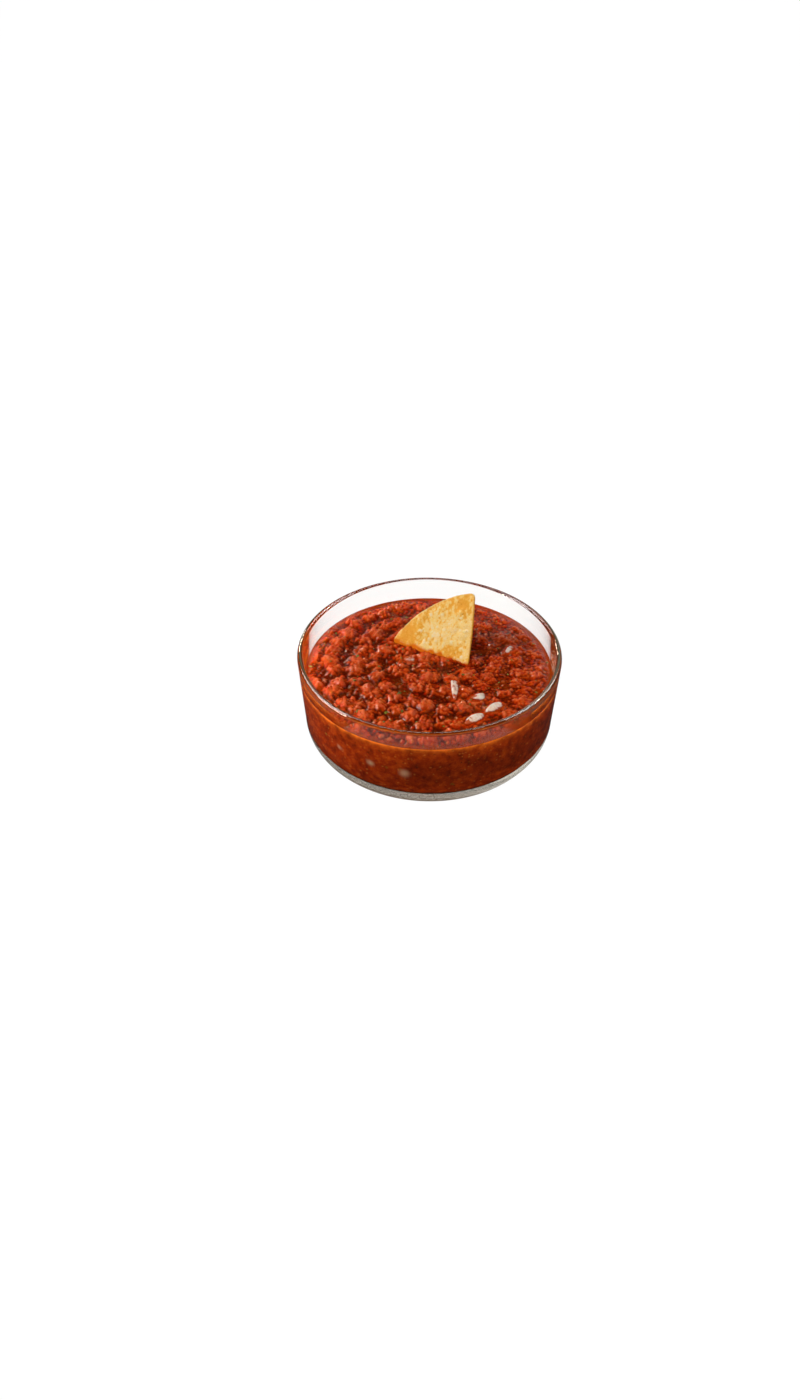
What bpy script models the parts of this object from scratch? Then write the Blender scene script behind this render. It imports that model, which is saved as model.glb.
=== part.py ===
"""A clear glass bowl of salsa roja, with one corn chip dipped in it and bits of white onion on top.

Metres, +Z up. The origin is the middle of the bowl's underside, on the surface that it stands on,
and the front of the bowl faces -Y.
"""

import math

import bmesh
import bpy
import numpy as np
from mathutils import Matrix, Vector
from mathutils.geometry import delaunay_2d_cdt

MM = 0.001
CLEARANCE = 0.3 * MM  # between pieces that touch
STEPS_ROUND = 72  # sides of everything turned
SAME_POINT = 0.01 * MM  # points closer than this are one

# Bowl: a pressed glass bowl with a rounded rim, a slight taper and a wide rounded foot
BOWL_HEIGHT = 65 * MM
RIM_RADIUS = 80 * MM
RIM_WALL = 3.7 * MM
CORNER_RADIUS = 20 * MM
CORNER_TOP_RADIUS = 76.7 * MM  # outer radius where the wall meets the rounded corner
CORNER_WALL = 4.2 * MM
FLOOR_THICKNESS = 8 * MM
INNER_CORNER_RADIUS = 22.5 * MM
CORNER_STEPS = 6
RIM_STEPS = 6

# Salsa: its level at the glass, and the spacing of the points of its surface
SALSA_LEVEL = 50.5 * MM
SALSA_POINT_SPACING = 2.45 * MM

# Relief of the salsa: swells in rows that follow the spoon's swirl, crowded with lumps of tomato,
# and thin sauce that fills the troughs between them
RELIEF_SEED = 9
SWIRL_X = 8 * MM
SWIRL_Y = 4 * MM
SWIRL_START = 1.0  # the spiral's first angle, in radians
SWIRL_REACH = 96 * MM
ROW_SPACING = 14 * MM
FIRST_ROW = 0.3  # how far out the spiral starts, over the spacing of its rows
SWELL_STEP = 10 * MM
SWELL_JITTER = 3 * MM
SWELL_RADII = (6.5 * MM, 9 * MM)
SWELL_HEIGHTS = (2.2 * MM, 3.8 * MM)
SWELL_POWER = 1.4  # a dome's shape: 0.5 is half a ball, more is a flatter foot
LUMP_TRIES = 6000
LUMP_RADII = (2.2 * MM, 3.8 * MM)
LUMP_STEEPNESS = 0.42  # a lump's height over its radius
LUMP_POWER = 0.7
LUMP_NEAREST = 0.55  # least distance between two lumps, over the sum of their radii
LUMP_SINK = 0.9 * MM
SAUCE_RISE = 0.5 * MM
SMOOTH_SIDE_ANGLE = math.radians(25)  # the finer, smoother side lies this way from +X
SMOOTH_SIDE_SHARE = 0.42  # how much lower the relief is there
LUMP_FINER = 0.6  # how much of that the lumps' radii follow
CALM_WIDTH = 7 * MM  # the relief dies out over this distance from the glass
MENISCUS_RISE = 0.8 * MM
MENISCUS_WIDTH = 1.2 * MM
BED_HEIGHT = 1.8 * MM  # level of the salsa that lies close to the onion and the chip
BED_MARGIN = 3.0 * MM
CUT_WELD = 0.03 * MM

# Chip: a quarter of a tortilla, its point pushed into the salsa, leaning away from the front
CHIP_TIP = Vector((22.4, -4.0, 43.7)) * MM
CHIP_HEADING = math.radians(-26.7)
CHIP_TILT = math.radians(48)
CHIP_RADIUS = 54.8 * MM
CHIP_FROM = math.radians(101.9)  # the sector's two sides, in the chip's own plane
CHIP_TO = math.radians(168.8)
CHIP_ARC_FLATTENING = 1.7 * MM
CHIP_SIDE_BOW = 1.0 * MM  # how far the side that shows whole bows outwards
CHIP_SIDE_STEPS = 6
CHIP_CORNER = 2.6 * MM
CHIP_THICKNESS = 1.8 * MM
CHIP_CURL = 1.6 * MM
CHIP_POINT_SPACING = 3.0 * MM
CHIP_ARC_STEPS = 18
CHIP_CORNER_STEPS = 4
LEAST_INSIDE = 0.6  # least distance of a lattice point from the outline, over the spacing
BLISTER_SEED = 5
BLISTER_COUNT = 12
BLISTER_PLACES = (0.06, 0.85)  # the sheet's area from the chip's point outwards, as shares of the whole
BLISTER_INSET = 0.12  # least angle from the chip's straight sides
BLISTER_RADII = (3.0 * MM, 5.5 * MM)
BLISTER_STEEPNESS = 0.1
BLISTER_POWER = 1.2

# Onion slivers: x, y, length, width, heading and side tilt in degrees, height of the crown over the
# salsa close by, how the two ends taper (0 is cut square, 1 runs to a straight-sided point), and
# how much the ends slant
ONION_PIECES = (
    (14.8 * MM, -23.2 * MM, 19.2 * MM, 4.6 * MM, 89, 12, 1.3 * MM, 0.50, 0.15, 0.0),
    (28.4 * MM, -30.0 * MM, 9.2 * MM, 6.6 * MM, 10, -10, 1.2 * MM, 0.90, 0.20, 0.36),
    (37.2 * MM, -40.0 * MM, 14.4 * MM, 5.6 * MM, 39, 10, 1.1 * MM, 0.80, 0.50, 0.0),
    (25.8 * MM, -50.0 * MM, 14.6 * MM, 5.8 * MM, 35, 9, 1.1 * MM, 0.60, 0.60, 0.0),
    (50.2 * MM, 17.6 * MM, 8.8 * MM, 3.8 * MM, 58, 14, 0.9 * MM, 0.50, 0.50, 0.0),
    (-11.9 * MM, 7.8 * MM, 8.0 * MM, 6.0 * MM, -28, -6, 0.6 * MM, 0.40, 0.40, 0.0),
)
ONION_THICKNESS = 3.0 * MM
ONION_CROWN = 0.5 * MM  # how much higher the middle lies than the ends
ONION_SQUARENESS = 0.6  # of the cross-section: 1 is an ellipse, 0 a rectangle
ONION_END_TAPER = 0.35  # how the thickness closes towards both ends
ONION_SIDES = 8
ONION_STATIONS = 8

# Materials: colour, roughness, and share of the light that passes through
GLASS_LOOK = ((0.93, 0.96, 0.95, 1), 0.03, 0.95)
SALSA_LOOK = ((0.42, 0.035, 0.012, 1), 0.28, 0.0)
CHIP_LOOK = ((0.80, 0.48, 0.14, 1), 0.62, 0.0)
ONION_LOOK = ((0.90, 0.80, 0.70, 1), 0.35, 0.0)


def clear_scene():
    """Remove every object of the open file."""
    for thing in list(bpy.data.objects):
        bpy.data.objects.remove(thing)


def new_collection(name):
    """A collection linked to the scene."""
    collection = bpy.data.collections.new(name)
    bpy.context.scene.collection.children.link(collection)
    return collection


def material(name, look):
    """A plain Principled material."""
    colour, roughness, transmission = look
    made = bpy.data.materials.new(name)
    made.use_nodes = True
    shader = made.node_tree.nodes["Principled BSDF"]
    shader.inputs["Base Color"].default_value = colour
    shader.inputs["Roughness"].default_value = roughness
    shader.inputs["Metallic"].default_value = 0
    shader.inputs["Transmission Weight"].default_value = transmission
    return made


def add_object(name, bm, collection, surface=None):
    """Turn a bmesh into a named object in a collection."""
    mesh = bpy.data.meshes.new(name)
    bm.to_mesh(mesh)
    bm.free()
    made = bpy.data.objects.new(name, mesh)
    collection.objects.link(made)
    if surface is not None:
        mesh.materials.append(surface)
    mesh.shade_smooth()
    return made


def arc(centre_r, centre_z, radius, first, last, steps):
    """Points of an arc in a turned profile, its angles measured from +r towards +z."""
    angles = np.linspace(first, last, steps + 1)
    return [(centre_r + radius * math.cos(a), centre_z + radius * math.sin(a)) for a in angles]


def inner_profile(gap=0.0):
    """Inside of the bowl below the salsa's level, from the floor's middle outwards and up."""
    wall_foot = CORNER_TOP_RADIUS - CORNER_WALL
    centre_r = wall_foot - INNER_CORNER_RADIUS
    centre_z = FLOOR_THICKNESS + INNER_CORNER_RADIUS
    corner = arc(centre_r, centre_z, INNER_CORNER_RADIUS - gap, -math.pi / 2, 0, CORNER_STEPS)
    return [(0, FLOOR_THICKNESS + gap)] + corner


def inner_wall_radius(z):
    """Inner radius of the straight part of the bowl's wall at height z."""
    foot_z = FLOOR_THICKNESS + INNER_CORNER_RADIUS
    top_z = BOWL_HEIGHT - RIM_WALL / 2
    share = (z - foot_z) / (top_z - foot_z)
    foot = CORNER_TOP_RADIUS - CORNER_WALL
    return foot + share * (RIM_RADIUS - RIM_WALL - foot)


def bowl_profile():
    """The bowl's outline, from the middle of its inside over the rim to the middle of its underside."""
    rim = arc(
        RIM_RADIUS - RIM_WALL / 2, BOWL_HEIGHT - RIM_WALL / 2, RIM_WALL / 2, math.pi, 0, RIM_STEPS
    )
    outer_corner = arc(
        CORNER_TOP_RADIUS - CORNER_RADIUS, CORNER_RADIUS, CORNER_RADIUS, 0, -math.pi / 2, CORNER_STEPS
    )
    return inner_profile() + rim + outer_corner + [(0, 0)]


def turned(name, profile, collection, surface):
    """A profile turned round Z with a Screw modifier."""
    bm = bmesh.new()
    points = [bm.verts.new((r, 0, z)) for r, z in profile]
    for first, second in zip(points, points[1:]):
        bm.edges.new((first, second))
    made = add_object(name, bm, collection, surface)
    screw = made.modifiers.new("turn", "SCREW")
    screw.steps = STEPS_ROUND
    screw.render_steps = STEPS_ROUND
    screw.use_merge_vertices = True
    screw.merge_threshold = SAME_POINT
    screw.use_smooth_shade = True
    return made


def smooth_step(value):
    """0 below 0, 1 above 1, and an even S between."""
    held = np.clip(value, 0, 1)
    return held * held * (3 - 2 * held)


def coarseness(x, y):
    """Share of the full relief at a place: the salsa is finer and smoother on one side."""
    across = x * math.cos(SMOOTH_SIDE_ANGLE) + y * math.sin(SMOOTH_SIDE_ANGLE)
    return 1 - SMOOTH_SIDE_SHARE * smooth_step(0.5 + across / RIM_RADIUS)


def swirl_swells(draw):
    """The swells, (x, y, radius, height), in turns of a spiral round the swirl's middle."""
    swells = []
    angle = SWIRL_START
    while True:
        distance = ROW_SPACING * (FIRST_ROW + angle / math.tau)
        if distance > SWIRL_REACH:
            return swells
        along, across = draw.uniform(-SWELL_JITTER, SWELL_JITTER, 2)
        radius = draw.uniform(*SWELL_RADII)
        height = draw.uniform(*SWELL_HEIGHTS)
        turn = angle + along / distance
        x = SWIRL_X + (distance + across) * math.cos(turn)
        y = SWIRL_Y + (distance + across) * math.sin(turn)
        swells.append((x, y, radius, height * coarseness(x, y)))
        angle += SWELL_STEP / distance


def scattered_lumps(draw):
    """Lumps of tomato, (x, y, radius, height), crowded but not on top of one another."""
    lumps = []
    kept = np.zeros((0, 3))
    for _ in range(LUMP_TRIES):
        distance = RIM_RADIUS * math.sqrt(draw.uniform())
        angle = draw.uniform(0, math.tau)
        radius = draw.uniform(*LUMP_RADII)
        x = distance * math.cos(angle)
        y = distance * math.sin(angle)
        radius *= 1 - LUMP_FINER * (1 - coarseness(x, y))
        apart = np.hypot(kept[:, 0] - x, kept[:, 1] - y)
        if np.all(apart > LUMP_NEAREST * (radius + kept[:, 2])):
            kept = np.vstack((kept, (x, y, radius)))
            lumps.append((x, y, radius, radius * LUMP_STEEPNESS))
    return lumps


def domes(x, y, places, power):
    """Height of the tallest dome at each point, 0 between the domes."""
    top = np.zeros_like(x)
    for centre_x, centre_y, radius, height in places:
        inside = 1 - ((x - centre_x) ** 2 + (y - centre_y) ** 2) / radius**2
        near = inside > 0
        top[near] = np.maximum(top[near], height * inside[near] ** power)
    return top


def distance_to_line(x, y, start, end):
    """Distance of each point from a straight line between two places."""
    run = np.subtract(end, start)
    share = ((x - start[0]) * run[0] + (y - start[1]) * run[1]) / np.dot(run, run)
    share = np.clip(share, 0, 1)
    return np.hypot(x - start[0] - share * run[0], y - start[1] - share * run[1])


def chip_matrix():
    """The chip's place and lean in the bowl."""
    turn = Matrix.Rotation(CHIP_HEADING, 4, "Z") @ Matrix.Rotation(CHIP_TILT, 4, "X")
    return Matrix.Translation(CHIP_TIP) @ turn


def bed_lines():
    """Lines along the onion pieces and the foot of the chip, (start, end, half width)."""
    lines = []
    for x, y, length, width, heading, *_ in ONION_PIECES:
        half = 0.5 * (length - width)
        along = (half * math.cos(math.radians(heading)), half * math.sin(math.radians(heading)))
        lines.append(((x - along[0], y - along[1]), (x + along[0], y + along[1]), width / 2))
    up_sheet = (SALSA_LEVEL + BED_HEIGHT - CHIP_TIP.z) / math.sin(CHIP_TILT)
    left = Vector((-math.sqrt(CHIP_RADIUS**2 - up_sheet**2), up_sheet, 0))
    right = Vector((up_sheet / math.tan(CHIP_FROM), up_sheet, 0))
    lines.append(((chip_matrix() @ left)[:2], (chip_matrix() @ right)[:2], CHIP_THICKNESS / 2))
    return lines


def salsa_height(x, y):
    """Height of the salsa's surface at arrays of places."""
    draw = np.random.default_rng(RELIEF_SEED)
    swells = domes(x, y, swirl_swells(draw), SWELL_POWER)
    lumps = domes(x, y, scattered_lumps(draw), LUMP_POWER)
    relief = np.maximum(swells + lumps - LUMP_SINK, SAUCE_RISE)
    for start, end, half_width in bed_lines():
        far = smooth_step((distance_to_line(x, y, start, end) - half_width) / BED_MARGIN)
        relief = BED_HEIGHT + far * (relief - BED_HEIGHT)
    from_glass = inner_wall_radius(SALSA_LEVEL) - np.hypot(x, y)
    relief *= smooth_step(from_glass / CALM_WIDTH)
    meniscus = MENISCUS_RISE * np.exp(-np.clip(from_glass, 0, None) / MENISCUS_WIDTH)
    return SALSA_LEVEL + relief + meniscus


def filled_outline(outline, spacing):
    """A flat face with a convex outline, split into triangles on a lattice of points."""
    outline = np.array(outline)
    edges = np.roll(outline, -1, axis=0) - outline
    low = outline.min(axis=0)
    high = outline.max(axis=0)
    inner = []
    row_height = spacing * math.sqrt(3) / 2
    for row, y in enumerate(np.arange(low[1], high[1], row_height)):
        for x in np.arange(low[0] + (row % 2) * spacing / 2, high[0], spacing):
            to_point = np.array((x, y)) - outline
            depth = edges[:, 0] * to_point[:, 1] - edges[:, 1] * to_point[:, 0]
            if np.min(depth / np.hypot(edges[:, 0], edges[:, 1])) > LEAST_INSIDE * spacing:
                inner.append((x, y))
    points = [Vector(p) for p in list(outline) + inner]
    face = list(range(len(outline)))
    inside_only = 1
    flat, _, triangles = delaunay_2d_cdt(points, [], [face], inside_only, SAME_POINT)[:3]
    bm = bmesh.new()
    verts = [bm.verts.new((p.x, p.y, 0)) for p in flat]
    for triangle in triangles:
        bm.faces.new([verts[i] for i in triangle])
    return bm


def lift(bm, height):
    """Move each vertex up by what a function of arrays of places gives."""
    bm.verts.ensure_lookup_table()
    x = np.array([v.co.x for v in bm.verts])
    y = np.array([v.co.y for v in bm.verts])
    for vert, z in zip(bm.verts, height(x, y)):
        vert.co.z += float(z)


def add_salsa(collection, surface, cutters):
    """The salsa: a relief surface over the inside of the bowl, cut round the chip and the onion."""
    profile = inner_profile(CLEARANCE)
    top_radius = inner_wall_radius(SALSA_LEVEL) - CLEARANCE
    turns = [math.tau * step / STEPS_ROUND for step in range(STEPS_ROUND)]
    outline = [(top_radius * math.cos(turn), top_radius * math.sin(turn)) for turn in turns]
    bm = filled_outline(outline, SALSA_POINT_SPACING)
    lift(bm, salsa_height)
    ring = [edge for edge in bm.edges if edge.is_boundary]
    for radius, z in reversed(profile[1:]):
        grown = bmesh.ops.extrude_edge_only(bm, edges=ring)["geom"]
        ring = [part for part in grown if isinstance(part, bmesh.types.BMEdge) and part.is_boundary]
        for vert in {vert for edge in ring for vert in edge.verts}:
            outward = vert.co.xy.normalized() * radius
            vert.co = (outward.x, outward.y, z)
    bmesh.ops.contextual_create(bm, geom=ring)
    bmesh.ops.recalc_face_normals(bm, faces=bm.faces)
    salsa = add_object("salsa", bm, collection, surface)
    cut = salsa.modifiers.new("round what lies in it", "BOOLEAN")
    cut.operation = "DIFFERENCE"
    cut.operand_type = "COLLECTION"
    cut.collection = cutters
    tidy = salsa.modifiers.new("join the closest points of the cuts", "WELD")
    tidy.merge_threshold = CUT_WELD
    return salsa


def chip_outline():
    """The chip's rounded outline in its own plane, its point at the origin."""
    centre = (CHIP_FROM + CHIP_TO) / 2
    half = (CHIP_TO - CHIP_FROM) / 2
    corners = [(0.0, 0.0)]
    for step in range(1, CHIP_SIDE_STEPS):
        along = CHIP_RADIUS * step / CHIP_SIDE_STEPS
        bow = CHIP_SIDE_BOW * math.sin(math.pi * step / CHIP_SIDE_STEPS)
        x = along * math.cos(CHIP_FROM) + bow * math.sin(CHIP_FROM)
        y = along * math.sin(CHIP_FROM) - bow * math.cos(CHIP_FROM)
        corners.append((x, y))
    for turn in np.linspace(-half, half, CHIP_ARC_STEPS + 1):
        radius = CHIP_RADIUS - CHIP_ARC_FLATTENING * math.cos(math.pi / 2 * turn / half)
        corners.append((radius * math.cos(centre + turn), radius * math.sin(centre + turn)))
    bm = bmesh.new()
    verts = [bm.verts.new((x, y, 0)) for x, y in corners]
    bm.faces.new(verts)
    sharp = [verts[0], verts[CHIP_SIDE_STEPS], verts[-1]]
    bmesh.ops.bevel(
        bm, geom=sharp, affect="VERTICES", offset=CHIP_CORNER, segments=CHIP_CORNER_STEPS, profile=0.5
    )
    bm.faces.ensure_lookup_table()
    rounded = [(loop.vert.co.x, loop.vert.co.y) for loop in bm.faces[0].loops]
    bm.free()
    return rounded


def side_points(outline, spacing):
    """The outline with points added along its long straight sides."""
    filled = []
    for start, end in zip(outline, outline[1:] + outline[:1]):
        run = np.subtract(end, start)
        pieces = max(1, round(float(np.hypot(*run)) / spacing))
        filled += [tuple(start + run * step / pieces) for step in range(pieces)]
    return filled


def chip_height(x, y):
    """How far the chip's sheet stands out of its plane: a gentle curl, and blisters."""
    draw = np.random.default_rng(BLISTER_SEED)
    blisters = []
    for _ in range(BLISTER_COUNT):
        distance = CHIP_RADIUS * math.sqrt(draw.uniform(*BLISTER_PLACES))
        turn = draw.uniform(CHIP_FROM + BLISTER_INSET, CHIP_TO - BLISTER_INSET)
        radius = draw.uniform(*BLISTER_RADII)
        place = (distance * math.cos(turn), distance * math.sin(turn))
        blisters.append((*place, radius, radius * BLISTER_STEEPNESS))
    across = np.hypot(x, y) / CHIP_RADIUS
    turn = (np.arctan2(y, x) - CHIP_FROM) / (CHIP_TO - CHIP_FROM)
    curl = CHIP_CURL * across * np.sin(math.pi * np.clip(turn, 0, 1))
    return domes(x, y, blisters, BLISTER_POWER) - curl


def add_chip(name, collection, surface, grown=0.0):
    """The chip, a curled sheet with blisters, or its cutter if grown."""
    bm = filled_outline(side_points(chip_outline(), CHIP_POINT_SPACING), CHIP_POINT_SPACING)
    lift(bm, chip_height)
    chip = add_object(name, bm, collection, surface)
    shell = chip.modifiers.new("thickness", "SOLIDIFY")
    shell.thickness = CHIP_THICKNESS
    shell.offset = 0
    grow(chip, grown)
    chip.matrix_world = chip_matrix()
    return chip


def grow(thing, amount):
    """Push a cutter's surface out by an amount."""
    if amount:
        push = thing.modifiers.new("clearance", "DISPLACE")
        push.strength = amount
        push.mid_level = 0


def rounded_square(part):
    """A cosine or sine turned into that of a rounded square."""
    return math.copysign(abs(part) ** ONION_SQUARENESS, part)


def add_onion(name, piece, collection, surface, grown=0.0):
    """A flat sliver of onion, tapered to its ends, half sunk in the salsa, or its cutter."""
    x, y, length, width, heading, side_tilt, rise, first_taper, last_taper, slant = piece
    widest = first_taper / (first_taper + last_taper)
    most = widest**first_taper * (1 - widest) ** last_taper
    bm = bmesh.new()
    bmesh.ops.create_uvsphere(bm, u_segments=ONION_SIDES, v_segments=ONION_STATIONS, radius=1)
    for vert in bm.verts:
        share = 0.5 + math.asin(max(-1, min(1, vert.co.z))) / math.pi
        turn = math.atan2(vert.co.y, vert.co.x)
        taper = share**first_taper * (1 - share) ** last_taper / most
        across = 0.5 * width * taper * rounded_square(math.cos(turn))
        end_taper = max(0, math.sin(math.pi * share)) ** ONION_END_TAPER
        up = 0.5 * ONION_THICKNESS * end_taper * rounded_square(math.sin(turn))
        crown = ONION_CROWN * (1 - (2 * share - 1) ** 2)
        vert.co = ((share - 0.5) * length + slant * across, across, up + crown)
    onion = add_object(name, bm, collection, surface)
    grow(onion, grown)
    turn = Matrix.Rotation(math.radians(heading), 4, "Z")
    turn = turn @ Matrix.Rotation(math.radians(side_tilt), 4, "X")
    level = SALSA_LEVEL + BED_HEIGHT + rise - ONION_CROWN - ONION_THICKNESS / 2
    onion.matrix_world = Matrix.Translation((x, y, level)) @ turn
    return onion


def mark_as_cutter(thing):
    """Keep a cutter out of the model."""
    thing.hide_render = True
    thing.display_type = "WIRE"


def build():
    """Make the whole object."""
    clear_scene()
    parts = new_collection("salsa_roja")
    cutters = new_collection("cutters")
    glass = material("clear glass", GLASS_LOOK)
    salsa = material("salsa", SALSA_LOOK)
    corn = material("fried corn", CHIP_LOOK)
    onion = material("raw onion", ONION_LOOK)
    mark_as_cutter(add_chip("chip_cutter", cutters, None, CLEARANCE))
    for number, piece in enumerate(ONION_PIECES, 1):
        mark_as_cutter(add_onion(f"onion_cutter_{number}", piece, cutters, None, CLEARANCE))
        add_onion(f"onion_{number}", piece, parts, onion)
    turned("bowl", bowl_profile(), parts, glass)
    add_salsa(parts, salsa, cutters)
    add_chip("chip", parts, corn)


build()
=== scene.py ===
"""The looks of a clear glass bowl of salsa roja with a corn chip dipped in it.

Metres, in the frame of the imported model: +Z up, the origin under the middle of the bowl, and the
front towards -Y.
"""

import math

import bmesh
import bpy
import numpy as np
from mathutils import Matrix, Vector
from mathutils.geometry import delaunay_2d_cdt


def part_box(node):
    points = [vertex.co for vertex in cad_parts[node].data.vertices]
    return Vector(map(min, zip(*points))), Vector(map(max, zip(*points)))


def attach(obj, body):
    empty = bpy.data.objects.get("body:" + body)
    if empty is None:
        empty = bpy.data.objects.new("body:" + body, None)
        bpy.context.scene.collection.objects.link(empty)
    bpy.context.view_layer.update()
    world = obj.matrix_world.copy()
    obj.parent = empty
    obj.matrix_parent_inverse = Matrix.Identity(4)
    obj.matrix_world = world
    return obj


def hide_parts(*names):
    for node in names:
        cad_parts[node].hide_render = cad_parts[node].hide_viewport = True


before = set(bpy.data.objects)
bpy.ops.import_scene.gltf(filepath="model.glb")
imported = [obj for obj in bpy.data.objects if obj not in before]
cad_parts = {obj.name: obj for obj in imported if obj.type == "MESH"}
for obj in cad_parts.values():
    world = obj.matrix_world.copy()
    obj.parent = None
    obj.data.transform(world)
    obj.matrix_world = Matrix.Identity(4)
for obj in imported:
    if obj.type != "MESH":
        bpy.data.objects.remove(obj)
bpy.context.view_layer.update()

MM = 0.001
LEAST_GAP = 0.001 * MM

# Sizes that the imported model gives
BOWL_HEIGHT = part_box("bowl")[1][2]
RIM_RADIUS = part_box("bowl")[1][0]

# Bowl
RIM_WALL = 3.7 * MM
CORNER_RADIUS = 20 * MM
CORNER_TOP_RADIUS = 76.7 * MM  # outer radius where the wall meets the rounded corner
CORNER_WALL = 4.2 * MM
FLOOR_THICKNESS = 8 * MM
INNER_CORNER_RADIUS = 22.5 * MM
INNER_FOOT_RADIUS = CORNER_TOP_RADIUS - CORNER_WALL  # where the inner corner meets the wall
INNER_FOOT_HEIGHT = FLOOR_THICKNESS + INNER_CORNER_RADIUS
RIM_LEVEL = BOWL_HEIGHT - RIM_WALL / 2  # the middle of the rim's rounding
CORNER_STEPS = 24
RIM_STEPS = 16
BOWL_STEPS = 256
INTO_GLASS = 0.35 * MM  # how far the salsa reaches into the wall, so that no air shows
CAUGHT_GLOW = 0.06  # how much the glass glows where light is caught in it

# Salsa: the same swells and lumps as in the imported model
SALSA_LEVEL = 50.5 * MM
RELIEF_SEED = 9
SWIRL_X = 8 * MM
SWIRL_Y = 4 * MM
SWIRL_START = 1.0
SWIRL_REACH = 96 * MM
ROW_SPACING = 14 * MM
FIRST_ROW = 0.3
SWELL_STEP = 10 * MM
SWELL_JITTER = 3 * MM
SWELL_RADII = (6.5 * MM, 9 * MM)
SWELL_HEIGHTS = (2.2 * MM, 3.8 * MM)
SWELL_POWER = 1.4
LUMPS = {"tries": 6000, "radii": (2.2 * MM, 3.8 * MM), "steepness": 0.42, "nearest": 0.55}
LUMP_POWER = 0.7
SMOOTH_SIDE_ANGLE = math.radians(25)
SMOOTH_SIDE_SHARE = 0.42
LUMP_FINER = 0.6
CALM_WIDTH = 7 * MM
FINE_CALM_START = 0.8 * MM
FINE_CALM_WIDTH = 3.5 * MM
MENISCUS_RISE = 0.8 * MM
MENISCUS_WIDTH = 1.2 * MM
WALL_DROP = 0.6 * MM  # from the meniscus's top to the first row of the sides
BED_HEIGHT = 1.8 * MM
BED_LEVEL = SALSA_LEVEL + BED_HEIGHT  # round the chip's foot and the onion
BED_MARGIN = 3.0 * MM

# Finer relief that only the looks have: round beads of tomato, and grains of pulp
LUMP_SINK = 1.475 * MM  # how far the sauce drowns the lumps
SAUCE_RISE = 0.3 * MM
BEAD_SEED = 12
BEADS = {"tries": 20000, "radii": (0.85 * MM, 2.2 * MM), "steepness": 0.76, "nearest": 0.64}
BEAD_HEIGHTS = (0.3, 1.2)  # shares of the full height
BEAD_WIDTHS = (0.75, 1.0)  # shares of the full width, across each bead
BEAD_POWER = 0.7
BEAD_ON_SAUCE = 0.4
BEAD_BY_GLASS = 0.45
BEAD_ON_BED = 0.5
BED_BEAD = 1.0 * MM  # a bead this high leaves the bed as it is
TINTED_BEAD = 0.6 * MM  # a bead this high has a tint wholly its own
GRAIN_SEED = 21
GRAINS = (22000, (0.4 * MM, 0.8 * MM))  # count and radii
GRAIN_STEEPNESS = 0.35
GRAIN_POWER = 0.8
GRAIN_ON_LUMPS = 0.25
GRAIN_ON_SAUCE = 0.5
ROUGHNESS = (  # seed, height and length of each wave
    (80, 0.5 * MM, 4.0 * MM),
    (81, 0.3 * MM, 2.0 * MM),
    (82, 0.15 * MM, 1.0 * MM),
)
LATTICE = 128  # random numbers along each side of a noise pattern
FILLET = 0.3 * MM
OUT_HEIGHT = 1.2 * MM  # from wholly under the sauce to wholly out of it
SOFTENING = 0.12 * MM
CREASE_LENGTH = 0.9 * MM  # finer hollows are creases between beads
TROUGH_LENGTH = 4.5 * MM  # wider hollows are troughs between clumps
CLUMP_LENGTHS = (2.5 * MM, 9 * MM)  # the clumps themselves
CELL = 0.25 * MM
RASTER_HALF = 78 * MM
SALSA_CELLS = 280
SIDE_SHARE = 4  # the sides have one point for this many of the top's edge
SIDE_ROWS = 24

# How light the salsa is by its relief, with painted shade in creases and troughs and painted light on beads
# and clumps: a weight, and the height that counts in full
TONE_MIDDLE = 0.50
CREASE_PAINTED_SHADING = (0.26, 0.2 * MM)
TROUGH_PAINTED_SHADING = (0.20, 1.2 * MM)
CLUMP_PAINTED_SHADING = (0.46, 0.9 * MM)
OUT_TONE = 0.10
OUT_MIDDLE = 0.85
EDGE_SHARE = 0.9  # how much the salsa's colour changes at the glass: oily and darker on top, and a bright orange line of painted light along the top of the sides
EDGE_WIDTH = 2.8 * MM
EDGE_DROP = 1.3 * MM

# Pale bits sunk in the salsa behind the glass: x, y, z and radius in millimetres
SUNK_BITS = ((-15.5, -73.9, 30.3, 3.2), (-35.2, -66.8, 32.4, 2.6), (-53.1, -53.7, 33.4, 2.2))
SUNK_PALENESS = 0.8
SUNK_REACH = 1.6  # radii from the middle to where a bit has faded

# Specks in the salsa behind the glass: scale, reach, which cells have one, and strength, then the colour
SIDE_SPECKS = (
    ((520, 0.40, 0.86, 0.93, 0.8), (0.03, 0.012, 0.002)),
    ((560, 0.50, 0.80, 0.92, 0.5), (0.60, 0.16, 0.03)),
    ((240, 0.36, 0.92, 0.98, 0.6), (0.13, 0.11, 0.01)),
)

# Chip
CHIP_TIP = Vector((22.4, -4.0, 43.7)) * MM
CHIP_HEADING = math.radians(-26.7)
CHIP_TILT = math.radians(48)
CHIP_RADIUS = 54.8 * MM
CHIP_FROM = math.radians(101.9)
CHIP_TO = math.radians(168.8)
CHIP_ARC_FLATTENING = 1.7 * MM
CHIP_SIDE_BOW = 1.0 * MM  # how far the side that shows whole bows outwards
CHIP_SIDE_STEPS = 6
CHIP_CORNER = 2.6 * MM
CHIP_THICKNESS = 1.8 * MM
CHIP_CURL = 1.6 * MM
CHIP_SPACING = 0.55 * MM
CHIP_ARC_STEPS = 18
CHIP_CORNER_STEPS = 4
LEAST_INSIDE = 0.6  # of the spacing, from the outline to the nearest point inside
CUT_EDGE_RADIUS = 0.3 * MM
CUT_EDGE_STEPS = 2
CUT_EDGE_ANGLE = math.radians(55)
BLISTER_SEED = 5
BLISTER_COUNT = 12
BLISTER_PLACES = (0.06, 0.85)
BLISTER_INSET = 0.12
BLISTER_RADII = (3.0 * MM, 5.5 * MM)
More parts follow.
